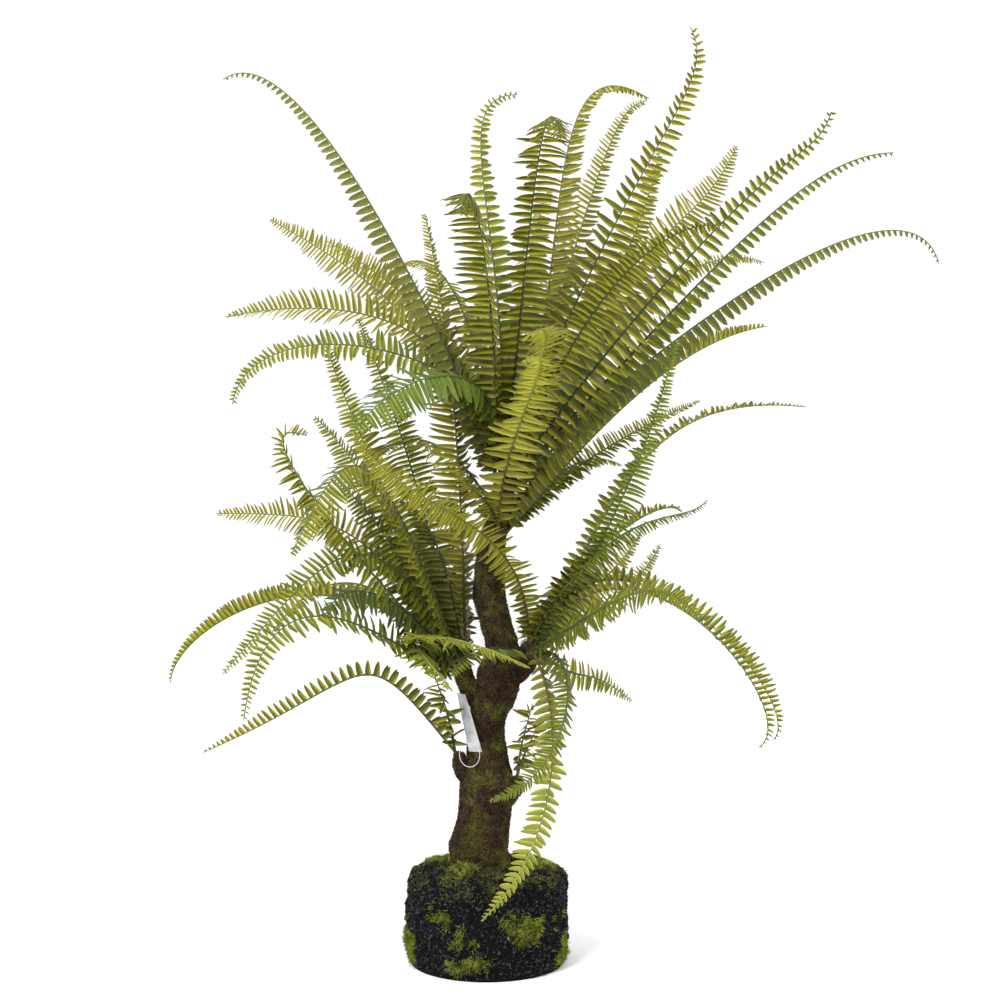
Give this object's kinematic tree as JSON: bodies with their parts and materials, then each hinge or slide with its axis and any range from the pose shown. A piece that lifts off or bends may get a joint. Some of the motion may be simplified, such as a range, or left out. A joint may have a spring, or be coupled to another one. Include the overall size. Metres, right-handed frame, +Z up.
{
  "type": "artificial tree fern",
  "caption": "Artificial tree fern: a rough trunk with boughs and stubs on a round soil plug, carrying crowns of arching fronds cut into leaflets, with a blank swing tag.",
  "frame": {"origin": "middle of the flat underside of the soil plug, on the floor", "axes": "+Z up, -Y towards the front, +X to the right as seen from the front"},
  "size_m": [0.891, 0.53, 1.075],
  "materials": {
    "soil": "rough charcoal granules with moss tufts",
    "bark": "rough dark fibre with moss",
    "frond": "soft plastic-coated leaf, satin",
    "tag": "smooth blank card"
  },
  "bodies": {
    "root": {"bough_left": "bark", "bough_right": "bark", "frond_left_01": "frond", "frond_left_02": "frond", "frond_left_03": "frond", "frond_left_04": "frond", "frond_left_05": "frond", "frond_left_06": "frond", "frond_left_07": "frond", "frond_left_08": "frond", "frond_left_09": "frond", "frond_left_10": "frond", "frond_left_11": "frond", "frond_left_12": "frond", "frond_left_13": "frond", "frond_mid_01": "frond", "frond_mid_02": "frond", "frond_mid_03": "frond", "frond_mid_04": "frond", "frond_mid_05": "frond", "frond_right_01": "frond", "frond_right_02": "frond", "frond_right_03": "frond", "frond_right_04": "frond", "frond_right_05": "frond", "frond_right_06": "frond", "frond_right_07": "frond", "frond_right_08": "frond", "frond_right_09": "frond", "frond_right_10": "frond", "frond_right_11": "frond", "frond_right_12": "frond", "frond_right_13": "frond", "frond_stub_left_01": "frond", "frond_stub_right_01": "frond", "frond_top_01": "frond", "frond_top_02": "frond", "frond_top_03": "frond", "frond_top_04": "frond", "frond_top_05": "frond", "frond_top_06": "frond", "frond_top_07": "frond", "frond_top_08": "frond", "frond_top_09": "frond", "frond_top_10": "frond", "frond_top_11": "frond", "frond_top_12": "frond", "frond_top_13": "frond", "frond_top_14": "frond", "frond_top_15": "frond", "frond_top_16": "frond", "frond_top_17": "frond", "frond_top_18": "frond", "frond_top_19": "frond", "soil_plug": "soil", "stub_left": "bark", "stub_right": "bark", "swing_tag": "tag", "trunk": "bark"}
  },
  "joints": []
}
